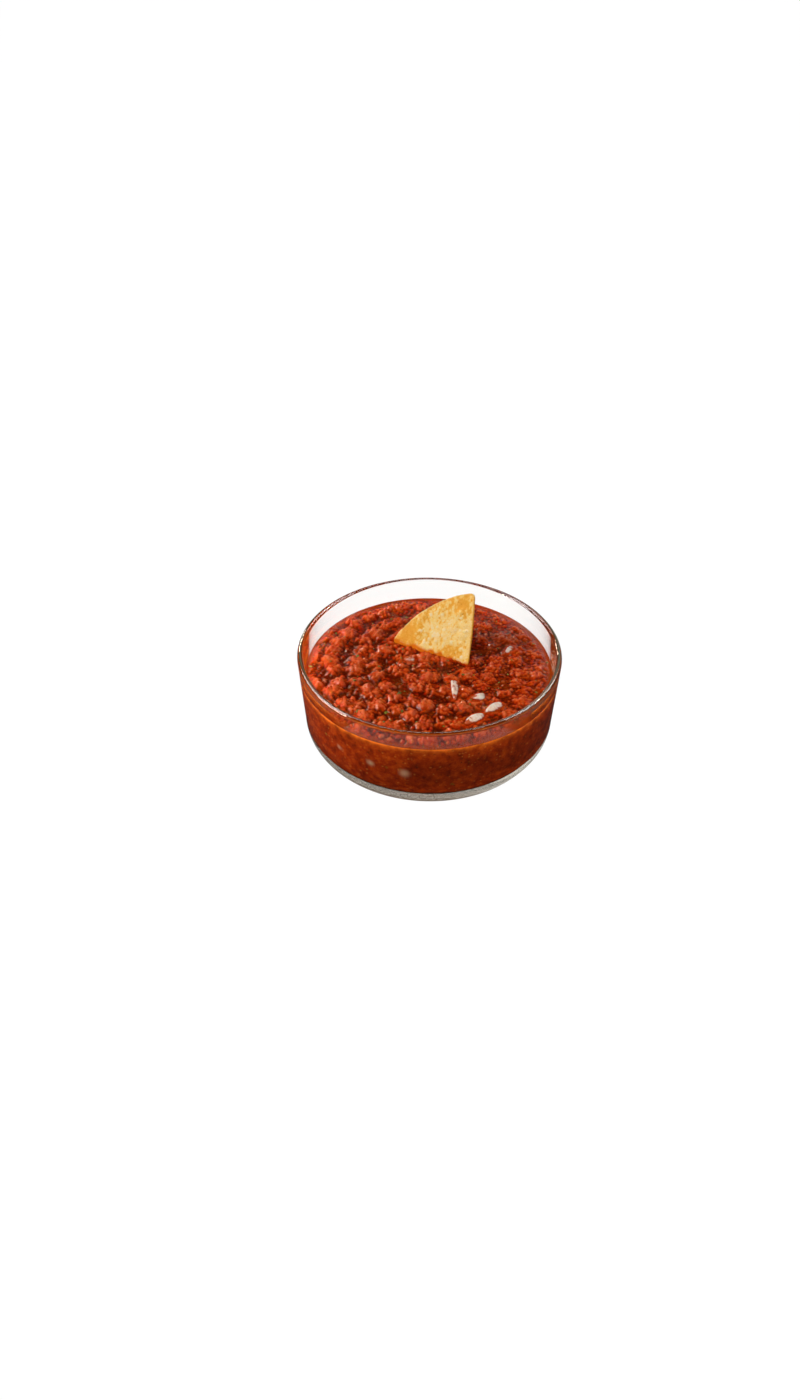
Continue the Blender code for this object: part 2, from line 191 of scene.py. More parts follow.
BLISTER_STEEPNESS = 0.1
BLISTER_POWER = 1.2
PATCHES = (  # seed, share, and size across and along the chip
    (41, 0.6, 1.3 * MM, 2.2 * MM),
    (42, 0.4, 1.3 / 2.6 * MM, 2.2 / 2.6 * MM),
)
PATCH_EDGE = (0.42, 0.62)  # where in the pattern a patch starts to rise, and where it is at its full height
PATCH_RISE = 0.11 * MM
PATCH_GROUPS = (43, 0.5, 15 * MM)
PALE_EDGE = (0.39, 0.73)  # where in the pattern the skin starts to turn pale, and where it is palest
PALE_INSIDE = (0.36, 0.45)  # how much paler it is away from the arc, and how far in
PALE_SIDE = (0.10, 26 * MM)  # how much paler it is on one side, and how far across
PALENESS = (0.16, 0.60)  # of the golden skin, and what the pale pattern adds
BUBBLE_PALENESS = 0.35 / (0.3 * MM)  # for each metre of height
BUBBLE_SEED = 8
BUBBLES = (150, (0.5 * MM, 1.3 * MM), (0.08, 0.22))  # count, radii and steepness
BUBBLE_POWER = 0.9
BUBBLE_PLACES = (0.02, 0.95)
BUBBLE_INSET = 0.02
PITS = (26, (0.5 * MM, 0.9 * MM), (1, 1))  # their heights aren't used
PIT_DEPTH = 0.3 * MM
PIT_POWER = 0.7
PIT_RING = 0.35  # height of the ring round a pit, as a share of its depth
PIT_SHARES = (0.7, 1.5)  # radii of the pit and its ring, as shares of the one drawn
PIT_DARKNESS = 0.8
SOAK_SEED = 44
SOAK_DEPTH = 1.0 * MM
SOAK_WANDER = 1.8 * MM
SOAK_GRAIN = 3 * MM
SOAK_WIDTH = 0.9 * MM
SOAK_CLIMB = 1.6 * MM  # how much higher the salsa climbs towards the chip's far corner
SOAK_CLIMB_LENGTH = 34 * MM
ARC_START = (0.92, 0.96)  # of the radius: the arc's pale edge and painted rim light are out here
ARC_EDGE_AND_RIM_LIGHT = (0.8, 0.35 * MM)  # strength and reach of the cut edge's pale colour and painted rim light
SIDE_EDGE = (0.9, 0.5 * MM)

# Onion slivers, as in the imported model: x, y, length and width in millimetres, heading and side tilt in
# degrees, how far the crown stands over the salsa close by, in millimetres, how the two ends taper, and
# how much they slant
ONION_PIECES = (
    (14.8, -23.2, 19.2, 4.6, 89, 12, 1.3, 0.50, 0.15, 0.0),
    (28.4, -30.0, 9.2, 6.6, 10, -10, 1.2, 0.90, 0.20, 0.36),
    (37.2, -40.0, 14.4, 5.6, 39, 10, 1.1, 0.80, 0.50, 0.0),
    (25.8, -50.0, 14.6, 5.8, 35, 9, 1.1, 0.60, 0.60, 0.0),
    (50.2, 17.6, 8.8, 3.8, 58, 14, 0.9, 0.50, 0.50, 0.0),
    (-11.9, 7.8, 8.0, 6.0, -28, -6, 0.6, 0.40, 0.40, 0.0),
)
ONION_THICKNESS = 3.0 * MM
ONION_CROWN = 0.5 * MM
ONION_SQUARENESS = 0.6
ONION_END_TAPER = 0.35
SMEARS = ((60, 0.6, 3.0 * MM), (70, 0.4, 1.1 * MM))  # seed, share and size
SMEAR_EDGE = (0.65, 0.77)
SMEAR_SHARE = 0.7
TIDE_HEIGHT = 0.8 * MM  # how much higher the sauce stands at an onion piece
TIDE_WANDER = 1.6 * MM
TIDE_WIDTH = 0.7 * MM
DIPPED_SHARE = 0.25  # of the length, at the first end
DIPPED_WANDER = 0.9
DIPPED_WIDTH = 0.12
WASHED_SHARE = 0.36  # how much a piece that lies low is washed over
WASHED_RISE = 1.1 * MM
WASHED_WIDTH = 1.0 * MM
MOST_SMEARED = 0.97
ONION_SIDES = 32
ONION_STATIONS = 40

# Green herb flecks that stand out: x, y and radius in millimetres
HERB_FLECKS = (
    (21.0, -8.3, 1.7), (27.3, -8.3, 1.4), (-18.6, -28.8, 1.6), (-25.6, -43.2, 2.0), (-16.6, -43.2, 1.3),
    (-72.1, 1.3, 1.5), (-43.7, 11.3, 1.5), (-64.4, 23.8, 1.4), (-58.3, 36.1, 1.2), (-15.9, 16.2, 1.3),
    (-13.7, 53.5, 1.4), (31.6, -24.1, 1.2), (23.2, -36.3, 1.3), (66.0, 24.1, 1.3),
)

# More small bits: count and radii
FLECK_SEED = 31
FLECKS = (56, (0.5 * MM, 1.3 * MM))
FINE_FLECKS = (160, (0.25 * MM, 0.5 * MM))
SPECKS = (380, (0.14 * MM, 0.35 * MM))
EDGE_SPECKS = (70, (0.25 * MM, 0.5 * MM))
EDGE_SPECK_PLACES = (3.0 * MM, 0.8 * MM)  # from the glass
BITS_FROM_GLASS = 1.2 * MM
HERB_SHAPE = (0.45, 0.25)  # flatness, and how deep it lies
SPECK_SHAPE = (0.6, 0.1)
BIT_LENGTHS = (0.8, 1.4)
BIT_WIDTHS = (0.55, 0.95)
BIT_HEIGHTS = (0.7, 1.3)
BIT_RAGGEDNESS = 0.12
BIT_LEAN = 0.5

# Camera, fitted to the bowl's rim in the photograph
CAMERA_PLACE = (-17.81 * MM, -643.1 * MM, 540.9 * MM)
CAMERA_PITCH_DOWN = math.radians(38.69)
SENSOR = 36.0
LENS = 33.97

# Studio
FLOOR_RADIUS = 5
FLOOR_SIDES = 96
STREAKS_PER_METRE = 260
THROUGH_GLASS = 1.07  # makes up for what the glass takes from the white behind it
LIGHTS_AIM = (0, 0, 50 * MM)
WARM = (1.0, 0.80, 0.62)

# Lights: name, place, width and height, power, and what else sets them apart
LIGHTS = (
    ("key", (-1.0, -0.02, 0.68), (0.5, 0.4), 11, {"colour": (1.0, 0.985, 0.93)}),
    ("right", (0.95, -0.1, 0.6), (0.6, 0.4), 1.2, {"colour": WARM}),
    ("top", (-0.1, 0.1, 1.4), (0.9, 0.9), 3, {"glossy": False}),
    ("back window", (-0.45, 0.9, 0.55), (0.2, 0.1), 4, {"colour": WARM, "diffuse": False}),
    ("left window", (-1.0, -0.35, 0.7), (0.2, 0.1), 5, {"colour": WARM, "diffuse": False}),
    ("right window", (0.6, 0.5, 0.9), (0.12, 0.06), 1.2, {"colour": WARM, "diffuse": False}),
)
GLASS_LIGHTS = (
    ("glass left", (-0.85, 0.55, 1.1), (0.8, 0.8), 20, {}),
    ("glass middle", (0, 0.75, 1.15), (1.1, 0.7), 9, {}),
    ("glass right", (0.85, 0.55, 1.1), (0.8, 0.8), 20, {"colour": (0.88, 0.98, 1.0)}),
)


# Small helpers


def smooth_step(value, low=0, high=1):
    """0 below low, 1 above high, and an even S between."""
    held = np.clip((value - low) / (high - low), 0, 1)
    return held * held * (3 - 2 * held)


def polar(distance, angle):
    """A place from its distance and angle."""
    return distance * math.cos(angle), distance * math.sin(angle)


def link_object(name, data):
    """Put an object with its data in the scene."""
    made = bpy.data.objects.new(name, data)
    bpy.context.scene.collection.objects.link(made)
    return made


def add_object(name, bm, surface, smooth=True):
    """Turn a bmesh into an object of the scene."""
    mesh = bpy.data.meshes.new(name)
    bm.to_mesh(mesh)
    bm.free()
    mesh.materials.append(surface)
    if smooth:
        mesh.shade_smooth()
    return link_object(name, mesh)


def mesh_object(name, points, faces, surface):
    """An object from an array of points and a list of faces."""
    mesh = bpy.data.meshes.new(name)
    mesh.from_pydata(points.tolist(), [], faces)
    mesh.materials.append(surface)
    mesh.shade_smooth()
    return link_object(name, mesh)


def set_attribute(thing, name, values):
    """Give each vertex a number that the material reads."""
    layer = thing.data.attributes.new(name, "FLOAT", "POINT")
    layer.data.foreach_set("value", np.asarray(values, np.float32))


def arc(centre_r, centre_z, radius, first, last, steps):
    """Points of an arc in a turned profile, its angles measured from +r towards +z."""
    angles = np.linspace(first, last, steps + 1)
    return [(centre_r + radius * math.cos(a), centre_z + radius * math.sin(a)) for a in angles]


# Materials


def new_material(name, settings):
    """A material, its node tree and its Principled shader with the settings that are the same all over."""
    made = bpy.data.materials.new(name)
    made.use_nodes = True
    shader = made.node_tree.nodes["Principled BSDF"]
    for key, value in settings.items():
        shader.inputs[key].default_value = value
    return made, made.node_tree, shader


def add_node(tree, kind, inputs=None, **settings):
    """A node with its settings, and values or links for its inputs by name or number."""
    made = tree.nodes.new(kind)
    for key, value in settings.items():
        setattr(made, key, value)
    for key, value in (inputs or {}).items():
        if isinstance(value, bpy.types.NodeSocket):
            tree.links.new(value, made.inputs[key])
        else:
            made.inputs[key].default_value = value
    return made


def attribute(tree, name):
    """A number that each vertex has."""
    return add_node(tree, "ShaderNodeAttribute", attribute_name=name).outputs["Fac"]


def object_place(tree):
    """Places in the object's own space."""
    return add_node(tree, "ShaderNodeTexCoord").outputs["Object"]


def part_of(tree, place, axis):
    """One of the three numbers of a place or colour."""
    return add_node(tree, "ShaderNodeSeparateXYZ", {0: place}).outputs[axis]


def ray(tree, question):
    """What the light path says about the ray that meets the surface."""
    return add_node(tree, "ShaderNodeLightPath").outputs[question]


def noise(tree, scale, detail=3.0, roughness=0.5):
    """Fractal noise in the object's own space, about 0.5 on average. Scale is per metre."""
    inputs = {"Vector": object_place(tree), "Scale": scale, "Detail": detail, "Roughness": roughness}
    return add_node(tree, "ShaderNodeTexNoise", inputs).outputs["Fac"]


def ramp(tree, value, *stops):
    """A colour ramp, its stops (position, colour) from low to high."""
    made = add_node(tree, "ShaderNodeValToRGB", {"Fac": value})
    elements = made.color_ramp.elements
    while len(elements) < len(stops):
        elements.new(0.5)
    for element, (position, colour) in zip(elements, stops):
        element.position = position
        element.color = (*colour, 1)
    return made.outputs["Color"]


def mix(tree, share, first, second):
    """Two colours mixed, each of them a link or three numbers."""
    linked = bpy.types.NodeSocket
    first, second = (value if isinstance(value, linked) else (*value, 1) for value in (first, second))
    return add_node(tree, "ShaderNodeMix", {0: share, 6: first, 7: second}, data_type="RGBA").outputs[2]


def math_node(tree, operation, first, second=0.0, clamp=False):
    """An operation on two numbers."""
    made = add_node(tree, "ShaderNodeMath", {0: first, 1: second}, operation=operation, use_clamp=clamp)
    return made.outputs[0]


def total(tree, first, *others):
    """Numbers added up."""
    for other in others:
        first = math_node(tree, "ADD", first, other)
    return first


def product(tree, first, *others):
    """Numbers multiplied."""
    for other in others:
        first = math_node(tree, "MULTIPLY", first, other)
    return first


def spread(tree, value, low, high, to_low=0.0, to_high=1.0):
    """A number's range low..high stretched to another one, and held inside it."""
    inputs = {"Value": value, "From Min": low, "From Max": high, "To Min": to_low, "To Max": to_high}
    return add_node(tree, "ShaderNodeMapRange", inputs).outputs["Result"]


def stretched(tree, wave, to_low, to_high):
    """Noise with its usual range stretched to another one."""
    return spread(tree, wave, 0.3, 0.7, to_low, to_high)


def add_bump(tree, shader, wave, strength, distance):
    """Let noise tilt the shader's surface."""
    bump = add_node(tree, "ShaderNodeBump", {"Height": wave, "Strength": strength, "Distance": distance})
    tree.links.new(bump.outputs["Normal"], shader.inputs["Normal"])


def glass_material():
    """Clear glass, olive in its depth and where light is caught in it."""
    settings = {
        "Base Color": (0.985, 0.995, 0.99, 1),
        "Roughness": 0.0,
        "IOR": 1.48,
        "Transmission Weight": 1.0,
        "Emission Color": (1.0, 0.90, 0.68, 1),
    }
    made, tree, shader = new_material("clear glass", settings)
    caught = product(tree, math_node(tree, "GREATER_THAN", ray(tree, "Glossy Depth"), 2.5), CAUGHT_GLOW)
    tree.links.new(caught, shader.inputs["Emission Strength"])
    depth = add_node(tree, "ShaderNodeVolumeAbsorption", {"Color": (0.68, 0.58, 0.38, 1), "Density": 13.0})
    tree.links.new(depth.outputs["Volume"], tree.nodes["Material Output"].inputs["Volume"])
    return made


def salsa_material():
    """Wet tomato salsa: bright lumps over dark sauce with painted shading from the relief, its hue wandering
    from place to place.
    """
    settings = {
        "IOR": 1.36,
        "Specular IOR Level": 0.45,
        "Subsurface Weight": 0.7,
        "Subsurface Radius": (1.0, 0.12, 0.04),
        "Subsurface Scale": 1.8 * MM,
    }
    made, tree, shader = new_material("tomato salsa", settings)
    tint = attribute(tree, "tint")
    fine = stretched(tree, noise(tree, 1000, 4.0, 0.65), -0.20, 0.20)
    middling = stretched(tree, noise(tree, 330, 2.0), -0.12, 0.12)
    # The tone holds painted shade in creases and troughs and painted light on beads and clumps
    body = ramp(
        tree,
        total(tree, attribute(tree, "tone_and_painted_shade"), total(tree, fine, middling)),
        (0.0, (0.080, 0.0046, 0.0001)),
        (0.25, (0.23, 0.0145, 0.0002)),
        (0.55, (0.45, 0.033, 0.0008)),
        (0.8, (0.60, 0.060, 0.0045)),
        (1.0, (0.68, 0.105, 0.0200)),
    )
    deep = mix(tree, spread(tree, tint, 0.36, 0.0, 0.0, 0.55), body, (0.42, 0.010, 0.001))
    fleshy = mix(tree, spread(tree, tint, 0.75, 1.0, 0.0, 0.42), deep, (0.76, 0.18, 0.055))
    broad = noise(tree, 150)
    orange = mix(tree, spread(tree, broad, 0.5, 0.72, 0.0, 0.35), fleshy, (0.36, 0.045, 0.001))
    edge_coloured = mix(tree, attribute(tree, "edge"), orange, (0.22, 0.029, 0.0007))
    tree.links.new(edge_coloured, shader.inputs["Base Color"])
    tree.links.new(stretched(tree, noise(tree, 500, 2.0), 0.03, 0.08), shader.inputs["Roughness"])
    add_bump(tree, shader, noise(tree, 850, 2.0), 0.6, 0.35 * MM)
    return made


def specks(tree, scale, reach, low, high, strength):
    """Soft uneven spots, one spot for some of the cells of a pattern: those drawn from low to high."""
    cells = add_node(tree, "ShaderNodeTexVoronoi", {"Vector": object_place(tree), "Scale": scale})
    ragged = stretched(tree, noise(tree, 2.5 * scale, 2.0), -0.35 * reach, 0.35 * reach)
    distance = total(tree, cells.outputs["Distance"], ragged)
    inside = spread(tree, distance, reach, 0.3 * reach, 0.0, strength)
    drawn = part_of(tree, cells.outputs["Color"], "X")
    above = math_node(tree, "GREATER_THAN", drawn, low)
    below = math_node(tree, "LESS_THAN", drawn, high)
    return product(tree, inside, product(tree, above, below))


def salsa_side_material():
    """The salsa where it lies against the glass: darker, smooth and without a shine of its own, with a
    painted glow along its top and painted shade at its foot.
    """
    settings = {"Roughness": 0.6, "Specular IOR Level": 0.0}
    made, tree, shader = new_material("tomato salsa behind glass", settings)
    broad = stretched(tree, noise(tree, 70, 2.0), 0.0, 0.3)
    lumps = noise(tree, 230, 3.0, 0.55)
    fine = stretched(tree, noise(tree, 900, 4.0, 0.65), -0.1, 0.25)
    body = ramp(
        tree,
        total(tree, broad, stretched(tree, lumps, 0.0, 0.5), fine),
        (0.0, (0.08, 0.006, 0.0004)),
        (0.5, (0.28, 0.024, 0.0010)),
        (1.0, (0.54, 0.070, 0.004)),
    )
    for dots, colour in SIDE_SPECKS:
        body = mix(tree, specks(tree, *dots), body, colour)
    # Painted light: a bright orange glow along the top of the sides, broken up by the lumps
    painted_glow_line = product(tree, attribute(tree, "edge"), spread(tree, lumps, 0.36, 0.56, 0.45, 1.0))
    edge_coloured = mix(tree, painted_glow_line, body, (0.95, 0.21, 0.018))
    spotted = mix(tree, attribute(tree, "pale"), edge_coloured, (0.62, 0.36, 0.20))
    # Painted shade: nearly black at the foot, where the salsa lies on the bowl's floor
    height = part_of(tree, object_place(tree), "Z")
    foot = spread(tree, height, FLOOR_THICKNESS + 2.5 * MM, FLOOR_THICKNESS + 5.5 * MM, 1.0, 0.0)
    tree.links.new(mix(tree, foot, spotted, (0.012, 0.006, 0.002)), shader.inputs["Base Color"])
    return made


def chip_material():
    """Fried corn: golden with cream patches and dark pits, pale along its arc with painted rim light, and
    stained by the salsa.
    """
    settings = {
        "Roughness": 0.55,
        "Specular IOR Level": 0.04,
        "Subsurface Weight": 0.15,
        "Subsurface Radius": (1.0, 0.6, 0.25),
        "Subsurface Scale": 0.8 * MM,
    }
    made, tree, shader = new_material("fried corn", settings)
    fine = stretched(tree, noise(tree, 1300, 4.0, 0.6), -0.16, 0.16)
    body = ramp(
        tree,
        total(tree, attribute(tree, "cream"), fine),
        (0.0, (0.80, 0.32, 0.030)),
        (0.35, (0.90, 0.44, 0.062)),
        (0.7, (0.96, 0.62, 0.18)),
        (1.0, (0.99, 0.78, 0.46)),
    )
    pitted = mix(tree, attribute(tree, "pit"), body, (0.50, 0.17, 0.012))
    # A pale cut edge along the arc, with painted rim light
    cut_edge_and_painted_rim_light = mix(tree, attribute(tree, "rim"), pitted, (0.96, 0.72, 0.32))
    fried = mix(tree, attribute(tree, "side"), cut_edge_and_painted_rim_light, (0.82, 0.35, 0.018))
    stained = mix(tree, attribute(tree, "stain"), fried, (0.72, 0.155, 0.0004))
    tree.links.new(stained, shader.inputs["Base Color"])
    add_bump(tree, shader, noise(tree, 1900, 5.0, 0.65), 0.5, 0.25 * MM)
    return made


def onion_material():
    """Raw white onion, a little clear, veined and smeared with sauce."""
    settings = {
        "Roughness": 0.25,
        "Specular IOR Level": 0.2,
        "Subsurface Weight": 0.25,
        "Subsurface Radius": (1.0, 0.6, 0.4),
        "Subsurface Scale": 1.0 * MM,
    }
    made, tree, shader = new_material("raw onion", settings)
    veins = spread(tree, noise(tree, 350), 0.35, 0.65)
    body = mix(tree, veins, (0.86, 0.60, 0.43), (0.97, 0.88, 0.78))
    stained = mix(tree, attribute(tree, "stain"), body, (0.50, 0.062, 0.002))
    tree.links.new(stained, shader.inputs["Base Color"])
    return made


def bit_material(name, dark, light, roughness):
    """A plain mottled material for small bits."""
    made, tree, shader = new_material(name, {"Roughness": roughness, "Specular IOR Level": 0.15})
    colour = mix(tree, spread(tree, noise(tree, 700), 0.35, 0.65), dark, light)
    tree.links.new(colour, shader.inputs["Base Color"])
    return made


# Bowl


def inner_profile(grown=0.0):
    """Inside of the bowl, from the floor's middle outwards and up to the end of the corner."""
    centre_r = INNER_FOOT_RADIUS - INNER_CORNER_RADIUS
    corner = arc(centre_r, INNER_FOOT_HEIGHT, INNER_CORNER_RADIUS + grown, -math.pi / 2, 0, CORNER_STEPS)
    return [(0, FLOOR_THICKNESS - grown)] + corner


def inner_wall_radius(z):
    """Inner radius of the straight part of the bowl's wall at height z."""
    share = (z - INNER_FOOT_HEIGHT) / (RIM_LEVEL - INNER_FOOT_HEIGHT)
    return INNER_FOOT_RADIUS + share * (RIM_RADIUS - RIM_WALL - INNER_FOOT_RADIUS)


def add_bowl():
    """The glass bowl, turned from its outline."""
    rim = arc(RIM_RADIUS - RIM_WALL / 2, RIM_LEVEL, RIM_WALL / 2, math.pi, 0, RIM_STEPS)
    outer_corner = arc(
        CORNER_TOP_RADIUS - CORNER_RADIUS, CORNER_RADIUS, CORNER_RADIUS, 0, -math.pi / 2, CORNER_STEPS
    )
    profile = inner_profile() + rim + outer_corner + [(0, 0)]
    bm = bmesh.new()
    points = [bm.verts.new((r, 0, z)) for r, z in profile]
    for first, second in zip(points, points[1:]):
        bm.edges.new((first, second))
    bowl = add_object("glass_bowl", bm, glass_material())
    screw = bowl.modifiers.new("turn", "SCREW")
    screw.steps = BOWL_STEPS
    screw.render_steps = BOWL_STEPS
    screw.use_merge_vertices = True
    screw.merge_threshold = 10 * LEAST_GAP
    screw.use_smooth_shade = True
    bowl.visible_shadow = False  # clear glass lets the light through
    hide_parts("bowl")
    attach(bowl, "root")
    return bowl


# Relief of the salsa, worked out on a raster of square cells


def coarseness(x, y):
    """Share of the full relief at a place: the salsa is finer and smoother on one side."""
    across = x * math.cos(SMOOTH_SIDE_ANGLE) + y * math.sin(SMOOTH_SIDE_ANGLE)
    return 1 - SMOOTH_SIDE_SHARE * smooth_step(0.5 + across / RIM_RADIUS)


def swirl_swells(draw):
    """The swells, (x, y, radius, height), in turns of a spiral round the swirl's middle."""
    swells = []
    angle = SWIRL_START
    while True:
        distance = ROW_SPACING * (FIRST_ROW + angle / math.tau)
        if distance > SWIRL_REACH:
            return swells
        along, across = draw.uniform(-SWELL_JITTER, SWELL_JITTER, 2)
        radius = draw.uniform(*SWELL_RADII)
        height = draw.uniform(*SWELL_HEIGHTS)
        from_middle = polar(distance + across, angle + along / distance)
        x = SWIRL_X + from_middle[0]
        y = SWIRL_Y + from_middle[1]
        swells.append((x, y, radius, height * coarseness(x, y)))
        angle += SWELL_STEP / distance


def scattered_balls(draw, tries, radii, steepness, nearest):
    """Round lumps, (x, y, radius, height), crowded but not on top of one another."""
    balls = []
    kept = np.zeros((0, 3))
    for _ in range(tries):
        distance = RIM_RADIUS * math.sqrt(draw.uniform())
        angle = draw.uniform(0, math.tau)
        radius = draw.uniform(*radii)
        x, y = polar(distance, angle)
        radius *= 1 - LUMP_FINER * (1 - coarseness(x, y))
        apart = np.hypot(kept[:, 0] - x, kept[:, 1] - y)
        if np.all(apart > nearest * (radius + kept[:, 2])):
            kept = np.vstack((kept, (x, y, radius)))
            balls.append((x, y, radius, radius * steepness))
    return balls


def scattered(draw, count, radii, reach, start=0, power=2):
    """Small things, (x, y, radius), spread evenly over a ring. The higher the power, the more are small."""
    distance = reach * np.sqrt(draw.uniform((start / reach) ** 2, 1, count))
    angle = draw.uniform(0, math.tau, count)
    radius = radii[0] + (radii[1] - radii[0]) * draw.uniform(size=count) ** power
    return np.stack((distance * np.cos(angle), distance * np.sin(angle), radius), axis=1).tolist()


RASTER_AXIS = np.arange(-RASTER_HALF, RASTER_HALF + CELL / 2, CELL)
RASTER_X, RASTER_Y = np.meshgrid(RASTER_AXIS, RASTER_AXIS, indexing="ij")


def stamp(places, power, draw=None):
    """Rasters with the height of the tallest dome in each cell, and with that dome's number, 0 for none.

    With a random generator the domes are ovals, each turned its own way, and otherwise round.
    """
    field = np.zeros_like(RASTER_X)
    owner = np.zeros(RASTER_X.shape, int)
    for number, (centre_x, centre_y, radius, height) in enumerate(places, 1):
        spans = []
        for centre in (centre_x, centre_y):
            low = max(0, int((centre - radius + RASTER_HALF) / CELL))
            spans.append(slice(low, max(0, int((centre + radius + RASTER_HALF) / CELL) + 2)))
        block = tuple(spans)
        if field[block].size == 0:
            continue
        across = RASTER_X[block] - centre_x
        along = RASTER_Y[block] - centre_y
        heading = draw.uniform(0, math.pi) if draw else 0
        width = draw.uniform(*BEAD_WIDTHS) if draw else 1
        ahead = across * math.cos(heading) + along * math.sin(heading)
        aside = (along * math.cos(heading) - across * math.sin(heading)) / width
        dome = height * np.clip(1 - (ahead**2 + aside**2) / radius**2, 0, None) ** power
        taller = dome > field[block]
        field[block][taller] = dome[taller]
        owner[block][taller] = number
    return field, owner


def blended(grid, i, j, a, b):
    """Values between the four corners of the cells (i, j), at the shares a and b of the way across them."""
    low = grid[i, j] * (1 - a) + grid[i + 1, j] * a
    high = grid[i, j + 1] * (1 - a) + grid[i + 1, j + 1] * a
    return low * (1 - b) + high * b


def sample(field, x, y):
    """A raster's values at places."""
    column = np.clip((x + RASTER_HALF) / CELL, 0, len(RASTER_AXIS) - 1.001)
    row = np.clip((y + RASTER_HALF) / CELL, 0, len(RASTER_AXIS) - 1.001)
    i = column.astype(int)
    j = row.astype(int)
    return blended(field, i, j, column - i, row - j)


def blurred(field, length):
    """A raster softened by a bell curve of that length."""
    reach = np.fft.fftfreq(field.shape[0], CELL)
    other = np.fft.rfftfreq(field.shape[1], CELL)
    soft = np.exp(-2 * (math.pi * length) ** 2 * (reach[:, None] ** 2 + other[None, :] ** 2))
    return np.fft.irfft2(np.fft.rfft2(field) * soft, field.shape)


def value_noise(seed, x, y, spacing, y_spacing=None):
    """Smooth random numbers from 0 to 1 over a plane, that change over about a spacing."""
    lattice = np.random.default_rng(seed).uniform(size=(LATTICE, LATTICE))
    lattice = np.pad(lattice, ((0, 1), (0, 1)), "wrap")
    column = x / spacing + LATTICE / 2
    row = y / (y_spacing or spacing) + LATTICE / 2
    i = np.floor(column).astype(int)
    j = np.floor(row).astype(int)
    return blended(lattice, i % LATTICE, j % LATTICE, smooth_step(column - i), smooth_step(row - j))


def layered_noise(layers, x, y, seed_step=0):
    """Noises added up: each has a seed, a share, and a spacing or one in x and one in y."""
    return sum(share * value_noise(seed + seed_step, x, y, *spacing) for seed, share, *spacing in layers)


def distance_to_line(x, y, start, end):
    """Distance of each point from a straight line between two places."""
    run = np.subtract(end, start)
    share = ((x - start[0]) * run[0] + (y - start[1]) * run[1]) / np.dot(run, run)
    share = np.clip(share, 0, 1)
    return np.hypot(x - start[0] - share * run[0], y - start[1] - share * run[1])


def chip_matrix():
    """The chip's place and lean in the bowl."""
    turn = Matrix.Rotation(CHIP_HEADING, 4, "Z") @ Matrix.Rotation(CHIP_TILT, 4, "X")
    return Matrix.Translation(CHIP_TIP) @ turn


def bed_lines():
    """Lines along the onion pieces and the foot of the chip, (start, end, half width)."""
    lines = []
    for *sizes, heading in (piece[:5] for piece in ONION_PIECES):
        x, y, length, width = np.array(sizes) * MM
        along = np.array(polar(0.5 * (length - width), math.radians(heading)))
        lines.append(((x, y) - along, (x, y) + along, width / 2))
    up_sheet = (BED_LEVEL - CHIP_TIP.z) / math.sin(CHIP_TILT)
    left = Vector((-math.sqrt(CHIP_RADIUS**2 - up_sheet**2), up_sheet, 0))
    right = Vector((up_sheet / math.tan(CHIP_FROM), up_sheet, 0))
    lines.append(((chip_matrix() @ left)[:2], (chip_matrix() @ right)[:2], CHIP_THICKNESS / 2))
    return lines


def salsa_fields():
    """Rasters of the salsa: height, then crease, trough, clump, how far out of the sauce, tint and calm."""
    draw = np.random.default_rng(RELIEF_SEED)
    swells, _ = stamp(swirl_swells(draw), SWELL_POWER)
    lumps, _ = stamp(scattered_balls(draw, **LUMPS), LUMP_POWER)
    draw = np.random.default_rng(BEAD_SEED)
    bead_places = scattered_balls(draw, **BEADS)
    bead_places = [(*place, height * draw.uniform(*BEAD_HEIGHTS)) for *place, height in bead_places]
    beads, bead_number = stamp(bead_places, BEAD_POWER, draw)
    tint = draw.uniform(size=len(bead_places) + 1)[bead_number]
    tint = 0.5 + (tint - 0.5) * smooth_step(beads / TINTED_BEAD)
    draw = np.random.default_rng(GRAIN_SEED)
    grain_places = scattered(draw, *GRAINS, RASTER_HALF, power=1)
    grains, _ = stamp([(*place, place[2] * GRAIN_STEEPNESS) for place in grain_places], GRAIN_POWER)
    rough = layered_noise(ROUGHNESS, RASTER_X, RASTER_Y)
    solid = swells + lumps + beads - LUMP_SINK + GRAIN_ON_LUMPS * grains + rough
    sauce = SAUCE_RISE + BEAD_ON_SAUCE * beads + GRAIN_ON_SAUCE * grains
    relief = blurred(0.5 * (solid + sauce + np.sqrt((solid - sauce) ** 2 + FILLET**2)), SOFTENING)
    out = smooth_step(0.5 + (solid - sauce) / OUT_HEIGHT)
    bed = BED_HEIGHT + BEAD_ON_BED * (beads - BED_BEAD)
    for start, end, half_width in bed_lines():
        far = smooth_step((distance_to_line(RASTER_X, RASTER_Y, start, end) - half_width) / BED_MARGIN)
        relief = bed + far * (relief - bed)
    from_glass = inner_wall_radius(SALSA_LEVEL) - np.hypot(RASTER_X, RASTER_Y)
    calm = smooth_step(from_glass / CALM_WIDTH)
    fine_calm = smooth_step((from_glass - FINE_CALM_START) / FINE_CALM_WIDTH)
    by_glass = BEAD_BY_GLASS * beads + GRAIN_ON_SAUCE * grains
    relief = calm * relief + (fine_calm - calm * fine_calm) * by_glass
    meniscus = MENISCUS_RISE * np.exp(-np.clip(from_glass, 0, None) / MENISCUS_WIDTH)
    height = SALSA_LEVEL + relief + meniscus
    crease = height - blurred(height, CREASE_LENGTH)
    trough = height - blurred(height, TROUGH_LENGTH)
    clump = blurred(height, CLUMP_LENGTHS[0]) - blurred(height, CLUMP_LENGTHS[1])
    return height, crease, trough, clump, out, tint, fine_calm


HEIGHT, *TONE_FIELDS = salsa_fields()


